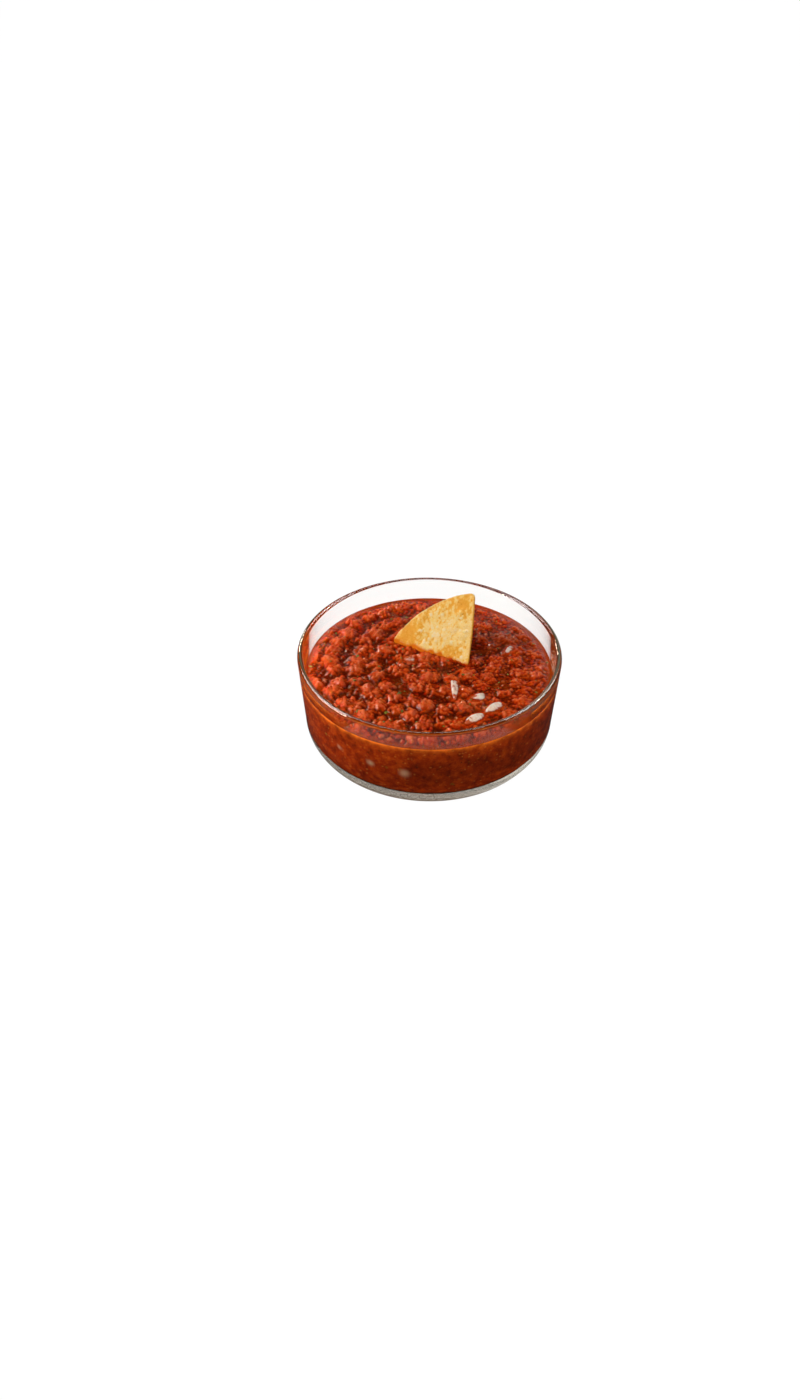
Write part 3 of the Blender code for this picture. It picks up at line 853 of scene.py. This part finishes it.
def disc_grid(cells):
    """Points of a square grid bent into a disc of radius 1, and the grid's outer loop."""
    axis = np.linspace(-1, 1, cells + 1)
    u, v = np.meshgrid(axis, axis, indexing="ij")
    x = u * np.sqrt(1 - v * v / 2)
    y = v * np.sqrt(1 - u * u / 2)
    index = np.arange((cells + 1) ** 2).reshape(cells + 1, cells + 1)
    quads = np.stack((index[:-1, :-1], index[1:, :-1], index[1:, 1:], index[:-1, 1:]), axis=-1).reshape(-1, 4)
    loop = np.concatenate((index[:-1, 0], index[-1, :-1], index[:0:-1, -1], index[0, :0:-1]))
    return x.ravel(), y.ravel(), quads, loop


def add_salsa(surfaces):
    """The salsa: a fine relief over the inside of the bowl, reaching just into the glass."""
    top_radius = inner_wall_radius(SALSA_LEVEL) + INTO_GLASS
    x, y, quads, loop = disc_grid(SALSA_CELLS)
    x = x * top_radius
    y = y * top_radius
    z = sample(HEIGHT, x, y)
    points = [np.stack((x, y, z), axis=1)]
    faces = [quads]
    rows = np.linspace(SALSA_LEVEL + MENISCUS_RISE - WALL_DROP, INNER_FOOT_HEIGHT, SIDE_ROWS)
    wall = [(inner_wall_radius(z_row) + INTO_GLASS, z_row) for z_row in rows]
    profile = wall + list(reversed(inner_profile(INTO_GLASS)))[1:-1]
    few = loop[::SIDE_SHARE]
    around = np.arctan2(y[few], x[few])
    top_points = len(x)
    ring = top_points + np.arange(len(few))
    triangles = []
    for number, (corner, following) in enumerate(zip(ring, np.roll(ring, -1))):
        upper = np.roll(loop, -number * SIDE_SHARE)[: SIDE_SHARE + 1]
        triangles.append((upper[SIDE_SHARE // 2], corner, following))
        for step in range(SIDE_SHARE):
            below = corner if step < SIDE_SHARE // 2 else following
            triangles.append((upper[step + 1], upper[step], below))
    for step, (radius, z_row) in enumerate(profile):
        level = np.full(len(few), z_row)
        points.append(np.stack((radius * np.cos(around), radius * np.sin(around), level), axis=1))
        if step:
            above = ring
            ring = ring + len(few)
            faces.append(np.stack((above, ring, np.roll(ring, -1), np.roll(above, -1)), axis=1))
    points = np.concatenate(points)
    salsa = mesh_object("salsa_body", points, np.concatenate(faces).tolist() + triangles, surfaces[0])
    salsa.data.materials.append(surfaces[1])
    bm = bmesh.new()
    bm.from_mesh(salsa.data)
    bmesh.ops.holes_fill(bm, edges=[edge for edge in bm.edges if edge.is_boundary])
    bmesh.ops.recalc_face_normals(bm, faces=bm.faces)
    for face in bm.faces:
        face.smooth = True
        face.material_index = int(any(vert.index >= top_points for vert in face.verts))
    bm.to_mesh(salsa.data)
    bm.free()
    x, y, z = points.T
    radius = np.hypot(x, y)
    on_top = (np.arange(len(points)) < top_points) & (radius < top_radius - LEAST_GAP)
    crease, trough, clump, out, tint, calm = (sample(field, x, y) for field in TONE_FIELDS)
    # Painted shading in the salsa's tone: darker in creases and troughs, lighter on beads and clumps
    painted_relief_shading = ((crease, CREASE_PAINTED_SHADING), (trough, TROUGH_PAINTED_SHADING), (clump, CLUMP_PAINTED_SHADING))
    lumpy_painted_shading = sum(weight * np.clip(part / full, -1, 1) for part, (weight, full) in painted_relief_shading)
    tone_and_painted_shade = TONE_MIDDLE + calm * (lumpy_painted_shading + OUT_TONE * (out - OUT_MIDDLE))
    set_attribute(salsa, "tone_and_painted_shade", np.clip(tone_and_painted_shade, 0, 1))
    set_attribute(salsa, "tint", np.where(on_top, 0.5 + calm * (tint - 0.5), 0.5))
    # Darker colour on top at the glass, and painted light along the top of the sides
    from_glass = inner_wall_radius(SALSA_LEVEL) - radius
    top_edge = np.exp(-np.clip(from_glass, 0, None) / EDGE_WIDTH)
    drop = np.clip(SALSA_LEVEL + MENISCUS_RISE - z, 0, None)
    side_painted_glow = 1 / (1 + (drop / EDGE_DROP) ** 2)
    set_attribute(salsa, "edge", EDGE_SHARE * np.where(on_top, top_edge, side_painted_glow))
    pale = np.zeros(len(points))
    for *place, bit_radius in np.array(SUNK_BITS) * MM:
        apart = np.linalg.norm(points - place, axis=1)
        pale = np.maximum(pale, SUNK_PALENESS * smooth_step(SUNK_REACH - apart / bit_radius))
    set_attribute(salsa, "pale", np.where(on_top, 0, pale))
    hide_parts("salsa")
    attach(salsa, "root")


# Chip


def filled_outline(outline, spacing):
    """Triangles on a lattice of points inside a convex outline."""
    outline = np.array(outline)
    edges = np.roll(outline, -1, axis=0) - outline
    low = outline.min(axis=0)
    high = outline.max(axis=0)
    row_height = spacing * math.sqrt(3) / 2
    inner = []
    for row, y in enumerate(np.arange(low[1], high[1], row_height)):
        x = np.arange(low[0] + (row % 2) * spacing / 2, high[0], spacing)
        to_x = x[:, None] - outline[None, :, 0]
        to_y = y - outline[None, :, 1]
        depth = (edges[:, 0] * to_y - edges[:, 1] * to_x) / np.hypot(edges[:, 0], edges[:, 1])
        inner += [(value, y) for value in x[depth.min(axis=1) > LEAST_INSIDE * spacing]]
    points = [Vector(p) for p in list(outline) + inner]
    face = list(range(len(outline)))
    inside_only = 1
    flat, _, triangles = delaunay_2d_cdt(points, [], [face], inside_only, LEAST_GAP)[:3]
    bm = bmesh.new()
    verts = [bm.verts.new((p.x, p.y, 0)) for p in flat]
    for triangle in triangles:
        bm.faces.new([verts[i] for i in triangle])
    return bm


def chip_outline():
    """The chip's rounded outline in its own plane, its point at the origin."""
    centre = (CHIP_FROM + CHIP_TO) / 2
    half = (CHIP_TO - CHIP_FROM) / 2
    corners = [(0.0, 0.0)]
    for step in range(1, CHIP_SIDE_STEPS):
        along = CHIP_RADIUS * step / CHIP_SIDE_STEPS
        bow = CHIP_SIDE_BOW * math.sin(math.pi * step / CHIP_SIDE_STEPS)
        x = along * math.cos(CHIP_FROM) + bow * math.sin(CHIP_FROM)
        y = along * math.sin(CHIP_FROM) - bow * math.cos(CHIP_FROM)
        corners.append((x, y))
    for turn in np.linspace(-half, half, CHIP_ARC_STEPS + 1):
        radius = CHIP_RADIUS - CHIP_ARC_FLATTENING * math.cos(math.pi / 2 * turn / half)
        corners.append(polar(radius, centre + turn))
    bm = bmesh.new()
    verts = [bm.verts.new((x, y, 0)) for x, y in corners]
    bm.faces.new(verts)
    sharp = [verts[0], verts[CHIP_SIDE_STEPS], verts[-1]]
    bmesh.ops.bevel(
        bm, geom=sharp, affect="VERTICES", offset=CHIP_CORNER, segments=CHIP_CORNER_STEPS, profile=0.5
    )
    bm.faces.ensure_lookup_table()
    rounded = [(loop.vert.co.x, loop.vert.co.y) for loop in bm.faces[0].loops]
    bm.free()
    return rounded


def side_points(outline, spacing):
    """The outline with points added along its sides."""
    filled = []
    for start, end in zip(outline, outline[1:] + outline[:1]):
        run = np.subtract(end, start)
        pieces = max(1, round(float(np.hypot(*run)) / spacing))
        filled += [tuple(start + run * step / pieces) for step in range(pieces)]
    return filled


def domes(x, y, places, power):
    """Height of the tallest dome at each point, 0 between the domes."""
    top = np.zeros_like(x)
    for centre_x, centre_y, radius, height in places:
        inside = 1 - ((x - centre_x) ** 2 + (y - centre_y) ** 2) / radius**2
        near = inside > 0
        top[near] = np.maximum(top[near], height * inside[near] ** power)
    return top


def chip_height(x, y):
    """How far the chip's sheet stands out of its plane: a gentle curl, and blisters."""
    draw = np.random.default_rng(BLISTER_SEED)
    blisters = []
    for _ in range(BLISTER_COUNT):
        distance = CHIP_RADIUS * math.sqrt(draw.uniform(*BLISTER_PLACES))
        turn = draw.uniform(CHIP_FROM + BLISTER_INSET, CHIP_TO - BLISTER_INSET)
        radius = draw.uniform(*BLISTER_RADII)
        blisters.append((*polar(distance, turn), radius, radius * BLISTER_STEEPNESS))
    across = np.hypot(x, y) / CHIP_RADIUS
    turn = (np.arctan2(y, x) - CHIP_FROM) / (CHIP_TO - CHIP_FROM)
    curl = CHIP_CURL * across * np.sin(math.pi * np.clip(turn, 0, 1))
    return domes(x, y, blisters, BLISTER_POWER) - curl


def scattered_on_chip(draw, count, radii, steepness):
    """Round places on the chip, (x, y, radius, height)."""
    places = []
    for _ in range(count):
        distance = CHIP_RADIUS * math.sqrt(draw.uniform(*BUBBLE_PLACES))
        turn = draw.uniform(CHIP_FROM + BUBBLE_INSET, CHIP_TO - BUBBLE_INSET)
        radius = draw.uniform(*radii)
        places.append((*polar(distance, turn), radius, radius * draw.uniform(*steepness)))
    return places


def chip_skin(x, y):
    """The fried skin: its relief, how pale each place is, and where the pits are."""
    draw = np.random.default_rng(BUBBLE_SEED)
    bubbles = domes(x, y, scattered_on_chip(draw, *BUBBLES), BUBBLE_POWER)
    pits = scattered_on_chip(draw, *PITS)
    hollow, ring = (
        domes(x, y, [(*place, share * radius, 1) for *place, radius, _ in pits], power)
        for share, power in zip(PIT_SHARES, (PIT_POWER, 1))
    )
    patches = layered_noise(PATCHES, x, y)
    relief = PATCH_RISE * smooth_step(patches, *PATCH_EDGE) + bubbles
    relief += PIT_DEPTH * (PIT_RING * ring - (1 + PIT_RING) * hollow)
    inwards = np.clip(1 - np.hypot(x, y) / CHIP_RADIUS, 0, PALE_INSIDE[1])
    level = patches + layered_noise([PATCH_GROUPS], x, y) - PATCH_GROUPS[1] / 2
    level += PALE_INSIDE[0] * inwards + PALE_SIDE[0] * smooth_step(1 + x / PALE_SIDE[1])
    cream = PALENESS[0] + PALENESS[1] * smooth_step(level, *PALE_EDGE) + BUBBLE_PALENESS * bubbles
    return relief, np.clip(cream, 0, 1), PIT_DARKNESS * hollow


def add_chip(surface):
    """The chip, with its patches, bubbles, pits and rounded cut edge."""
    outline = side_points(chip_outline(), CHIP_SPACING)
    bm = filled_outline(outline, CHIP_SPACING)
    bm.verts.ensure_lookup_table()
    x = np.array([v.co.x for v in bm.verts])
    y = np.array([v.co.y for v in bm.verts])
    skin, cream, pit = chip_skin(x, y)
    height = chip_height(x, y)
    for vert, z in zip(bm.verts, height + skin):
        vert.co.z = float(z)
    chip = add_object("corn_chip", bm, surface)
    matrix = chip_matrix()
    rows = np.array(matrix)
    world_z = rows[2, 0] * x + rows[2, 1] * y + rows[2, 2] * height + rows[2, 3]
    wander = SOAK_WANDER * (value_noise(SOAK_SEED, x, y, SOAK_GRAIN) - 0.5)
    climb = smooth_step(-x / SOAK_CLIMB_LENGTH)
    wet = BED_LEVEL - SOAK_DEPTH + SOAK_CLIMB * climb - world_z + wander
    set_attribute(chip, "stain", smooth_step(0.5 + wet / (SOAK_WIDTH * (1 + climb))))
    set_attribute(chip, "cream", cream)
    set_attribute(chip, "pit", pit)
    edge_x, edge_y = np.array(outline).T
    from_edge = np.hypot(x[:, None] - edge_x, y[:, None] - edge_y).min(axis=1)
    on_arc = smooth_step(np.hypot(x, y) / CHIP_RADIUS, *ARC_START)
    for name, share, (strength, reach) in (("rim", on_arc, ARC_EDGE_AND_RIM_LIGHT), ("side", 1 - on_arc, SIDE_EDGE)):
        set_attribute(chip, name, strength * share * np.exp(-from_edge / reach))
    shell = chip.modifiers.new("thickness", "SOLIDIFY")
    shell.thickness = CHIP_THICKNESS
    shell.offset = 0
    edge = chip.modifiers.new("rounded cut edge", "BEVEL")
    edge.width = CUT_EDGE_RADIUS
    edge.segments = CUT_EDGE_STEPS
    edge.limit_method = "ANGLE"
    edge.angle_limit = CUT_EDGE_ANGLE
    chip.matrix_world = matrix
    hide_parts("chip")
    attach(chip, "root")


# Onion


def rounded_square(part):
    """A cosine or sine turned into that of a rounded square."""
    return math.copysign(abs(part) ** ONION_SQUARENESS, part)


def add_onion(number, piece, surface):
    """A flat sliver of onion, tapered to its ends, half sunk in the salsa and smeared with it."""
    heading, side_tilt = map(math.radians, piece[4:6])
    x, y, length, width, rise = (MM * size for size in (*piece[:4], piece[6]))
    first_taper, last_taper, slant = piece[7:]
    widest = first_taper / (first_taper + last_taper)
    most = widest**first_taper * (1 - widest) ** last_taper
    bm = bmesh.new()
    bmesh.ops.create_uvsphere(bm, u_segments=ONION_SIDES, v_segments=ONION_STATIONS, radius=1)
    for vert in bm.verts:
        share = 0.5 + math.asin(max(-1, min(1, vert.co.z))) / math.pi
        turn = math.atan2(vert.co.y, vert.co.x)
        taper = share**first_taper * (1 - share) ** last_taper / most
        across = 0.5 * width * taper * rounded_square(math.cos(turn))
        end_taper = max(0, math.sin(math.pi * share)) ** ONION_END_TAPER
        up = 0.5 * ONION_THICKNESS * end_taper * rounded_square(math.sin(turn))
        crown = ONION_CROWN * (1 - (2 * share - 1) ** 2)
        vert.co = ((share - 0.5) * length + slant * across, across, up + crown)
    onion = add_object(f"onion_sliver_{number}", bm, surface)
    turn = Matrix.Rotation(heading, 4, "Z") @ Matrix.Rotation(side_tilt, 4, "X")
    level = BED_LEVEL + rise - ONION_CROWN - ONION_THICKNESS / 2
    onion.matrix_world = Matrix.Translation((x, y, level)) @ turn
    placed = np.array([onion.matrix_world @ v.co for v in onion.data.vertices])
    along = np.array([v.co.x for v in onion.data.vertices]) / length + 0.5
    smear = layered_noise(SMEARS, placed[:, 0], placed[:, 1], number)
    tide = BED_LEVEL + TIDE_HEIGHT + TIDE_WANDER * (smear - 0.5)
    low = smooth_step((tide - placed[:, 2]) / TIDE_WIDTH)
    dipped = smooth_step((DIPPED_SHARE - along + DIPPED_WANDER * (smear - 0.5)) / DIPPED_WIDTH)
    washed = WASHED_SHARE * smooth_step((WASHED_RISE - rise) / WASHED_WIDTH)
    smeared = washed + SMEAR_SHARE * smooth_step(smear, *SMEAR_EDGE)
    set_attribute(onion, "stain", np.clip(np.max((low, dipped, smeared), axis=0), 0, MOST_SMEARED))
    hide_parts(f"onion_{number}")
    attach(onion, "root")


# Small bits


def add_bits(name, bits, surface, draw, flatness, sink):
    """Many small ragged pieces on the salsa, each turned and squashed on its own, in one mesh."""
    base = bmesh.new()
    bmesh.ops.create_icosphere(base, subdivisions=2, radius=1)
    points = np.array([v.co[:] for v in base.verts])
    faces = np.array([[v.index for v in face.verts] for face in base.faces])
    base.free()
    all_points = []
    all_faces = []
    for index, (x, y, size) in enumerate(bits):
        stretch = [draw.uniform(*shares) for shares in (BIT_LENGTHS, BIT_WIDTHS, BIT_HEIGHTS)]
        stretch[2] *= flatness
        ragged = 1 + draw.uniform(-BIT_RAGGEDNESS, BIT_RAGGEDNESS, (len(points), 1))
        turn = Matrix.Rotation(draw.uniform(0, math.tau), 3, "Z")
        lean = Matrix.Rotation(draw.uniform(-BIT_LEAN, BIT_LEAN), 3, "X")
        lean = lean @ Matrix.Rotation(draw.uniform(-BIT_LEAN, BIT_LEAN), 3, "Y")
        shaped = points * ragged * stretch * size @ np.array(lean @ turn).T
        z = sample(HEIGHT, x, y) - sink * size
        all_points.append(shaped + (x, y, z))
        all_faces.append(faces + index * len(points))
    made = mesh_object(name, np.concatenate(all_points), np.concatenate(all_faces).tolist(), surface)
    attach(made, "root")


def add_flecks():
    """Green herb flecks and dark specks on the salsa."""
    draw = np.random.default_rng(FLECK_SEED)
    wall = inner_wall_radius(SALSA_LEVEL)
    inside = wall - BITS_FROM_GLASS
    green = bit_material("green herb", (0.055, 0.060, 0.003), (0.26, 0.22, 0.015), 0.3)
    dark = bit_material("dark specks", (0.02, 0.012, 0.004), (0.07, 0.035, 0.012), 0.4)
    herbs = (np.array(HERB_FLECKS) * MM).tolist()
    herbs += scattered(draw, *FLECKS, inside)
    herbs += scattered(draw, *FINE_FLECKS, inside)
    add_bits("herb_flecks", herbs, green, draw, *HERB_SHAPE)
    specks_places = scattered(draw, *SPECKS, inside)
    inner, outer = (wall - gap for gap in EDGE_SPECK_PLACES)
    specks_places += scattered(draw, *EDGE_SPECKS, outer, inner)
    add_bits("dark_specks", specks_places, dark, draw, *SPECK_SHAPE)


# Studio


def add_camera():
    """The camera at the photograph's place and lens."""
    data = bpy.data.cameras.new("camera")
    data.lens = LENS
    data.sensor_width = SENSOR
    camera = link_object("camera", data)
    camera.location = CAMERA_PLACE
    camera.rotation_euler = (math.pi / 2 - CAMERA_PITCH_DOWN, 0, 0)
    bpy.context.scene.camera = camera


def add_area_light(name, place, size, power, diffuse=True, glossy=True, only_on=None, colour=(1, 1, 1)):
    """A soft light, wide by high, that points at the bowl. The glass doesn't show it behind itself.

    It may be kept from matt surfaces or from reflections, or light one object alone.
    """
    data = bpy.data.lights.new(name, "AREA")
    data.shape = "RECTANGLE"
    data.size, data.size_y = size
    data.energy = power
    data.color = colour
    light = link_object(name, data)
    light.location = place
    light.rotation_euler = (Vector(LIGHTS_AIM) - Vector(place)).to_track_quat("-Z", "Y").to_euler()
    light.visible_diffuse = diffuse
    light.visible_glossy = glossy
    light.visible_transmission = False
    if only_on:
        lit = bpy.data.collections.new(name + " lights only")
        lit.objects.link(only_on)
        light.light_linking.receiver_collection = lit


def white_seen(tree, kept, least=0.04):
    """How much of the white surroundings shows: all of it seen plainly, and a little more through the glass.

    A reflection inside the glass keeps a share of it, and one on the salsa or behind the glass the least.
    """
    through = ray(tree, "Is Transmission Ray")
    reflected = math_node(tree, "GREATER_THAN", ray(tree, "Glossy Depth"), 0.5)
    behind = math_node(tree, "GREATER_THAN", ray(tree, "Transmission Depth"), 2.5)
    outside = math_node(tree, "SUBTRACT", ray(tree, "Is Glossy Ray"), through, True)
    hidden = math_node(tree, "MAXIMUM", outside, product(tree, reflected, behind))
    inside = spread(tree, reflected, 0.0, 1.0, 1.0, kept)
    brighter = spread(tree, through, 0.0, 1.0, 1.0, THROUGH_GLASS)
    return product(tree, inside, brighter, spread(tree, hidden, 0.0, 1.0, 1.0, least))


def add_floor():
    """A wide white floor that glows, so that it stays white to its far edge.

    In the glass's reflections alone it is streaked under the bowl with painted shade and reflection, brown on
    the left and pale on the right.
    """
    settings = {"Base Color": (0.02, 0.02, 0.02, 1), "Roughness": 0.9, "Specular IOR Level": 0.0}
    made, tree, shader = new_material("floor", settings)
    place = object_place(tree)
    across = part_of(tree, place, "X")
    out = add_node(tree, "ShaderNodeVectorMath", {0: place}, operation="LENGTH").outputs["Value"]
    around = math_node(tree, "ARCTAN2", part_of(tree, place, "Y"), across)
    ring = add_node(tree, "ShaderNodeCombineXYZ", {0: product(tree, out, STREAKS_PER_METRE), 1: around})
    inputs = {"Vector": ring.outputs["Vector"], "Scale": 1.0, "Detail": 3.0}
    streaks = add_node(tree, "ShaderNodeTexNoise", inputs).outputs["Fac"]
    # Painted shade and reflection under the bowl, seen in the glass alone: brown streaks on the left, bright
    # pale ones on the right
    brown = mix(tree, spread(tree, streaks, 0.4, 0.6), (0.05, 0.020, 0.004), (0.28, 0.14, 0.05))
    pale = mix(tree, spread(tree, streaks, 0.44, 0.54), (0.50, 0.47, 0.43), (2.6, 2.6, 2.5))
    under = mix(tree, spread(tree, across, 10 * MM, 65 * MM), brown, pale)
    within = spread(tree, out, RIM_RADIUS - 5 * MM, RIM_RADIUS - 2 * MM, 1.0, 0.0)
    seen = white_seen(tree, 0.5, spread(tree, within, 0.0, 1.0, 0.04, 0.9))
    tree.links.new(seen, shader.inputs["Emission Strength"])
    caught = product(tree, within, math_node(tree, "GREATER_THAN", ray(tree, "Glossy Depth"), 0.5))
    tree.links.new(mix(tree, caught, (1, 1, 1), under), shader.inputs["Emission Color"])
    bm = bmesh.new()
    bmesh.ops.create_circle(bm, cap_ends=True, segments=FLOOR_SIDES, radius=FLOOR_RADIUS)
    floor = add_object("floor", bm, made, smooth=False)


def add_world():
    """A dim studio, lighter overhead and dimmer in reflections, white plainly and through the glass."""
    world = bpy.data.worlds.new("studio")
    bpy.context.scene.world = world
    world.use_nodes = True
    tree = world.node_tree
    height = part_of(tree, add_node(tree, "ShaderNodeTexCoord").outputs["Generated"], "Z")
    straight = math_node(tree, "SUBTRACT", ray(tree, "Is Transmission Ray"), ray(tree, "Diffuse Depth"), True)
    fill = spread(tree, height, 0.4, 1.0, 0.08, 0.40)
    shade = math_node(tree, "MAXIMUM", fill, product(tree, straight, 0.9))
    shade = math_node(tree, "MAXIMUM", shade, ray(tree, "Is Camera Ray"))
    seen = product(tree, shade, white_seen(tree, spread(tree, height, 0.25, 0.35, 0.85, 0.25)))
    tree.links.new(seen, tree.nodes["Background"].inputs["Color"])


def add_studio(bowl):
    """Floor, world, broad soft lights with small windows for glints, and lights on the glass alone."""
    add_floor()
    add_world()
    for *light, extras in LIGHTS:
        add_area_light(*light, **extras)
    for *light, extras in GLASS_LIGHTS:
        add_area_light(*light, only_on=bowl, **extras)
    view = bpy.context.scene.view_settings
    view.view_transform = "Standard"
    view.look = "None"
    view.exposure = 0.0


add_camera()
add_studio(add_bowl())
add_salsa((salsa_material(), salsa_side_material()))
add_chip(chip_material())
ONION_SURFACE = onion_material()
for onion_number, onion_piece in enumerate(ONION_PIECES, 1):
    add_onion(onion_number, onion_piece, ONION_SURFACE)
add_flecks()
